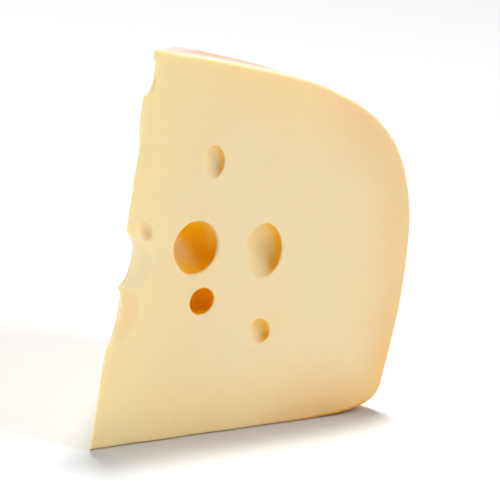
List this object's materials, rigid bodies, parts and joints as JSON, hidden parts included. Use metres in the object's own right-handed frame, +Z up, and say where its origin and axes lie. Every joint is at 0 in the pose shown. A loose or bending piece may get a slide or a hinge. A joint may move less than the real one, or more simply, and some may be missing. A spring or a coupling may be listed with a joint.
{
  "type": "maasdam cheese wedge",
  "caption": "Wedge of pale yellow semi-hard cheese with round gas eyes in both cuts, a domed top, a bellied waxed side and a flat underside.",
  "frame": {"origin": "middle of the wedge's box, at the height of the surface that it stands on", "axes": "+Z up; +X along the near cut, from the wedge's point to its rind; +Y from the near cut, which faces -Y, towards the far cut"},
  "size_m": [0.168, 0.094, 0.148],
  "materials": {
    "cheese_paste": "satin"
  },
  "bodies": {
    "root": {"cheese_wedge": "cheese_paste"}
  },
  "joints": []
}
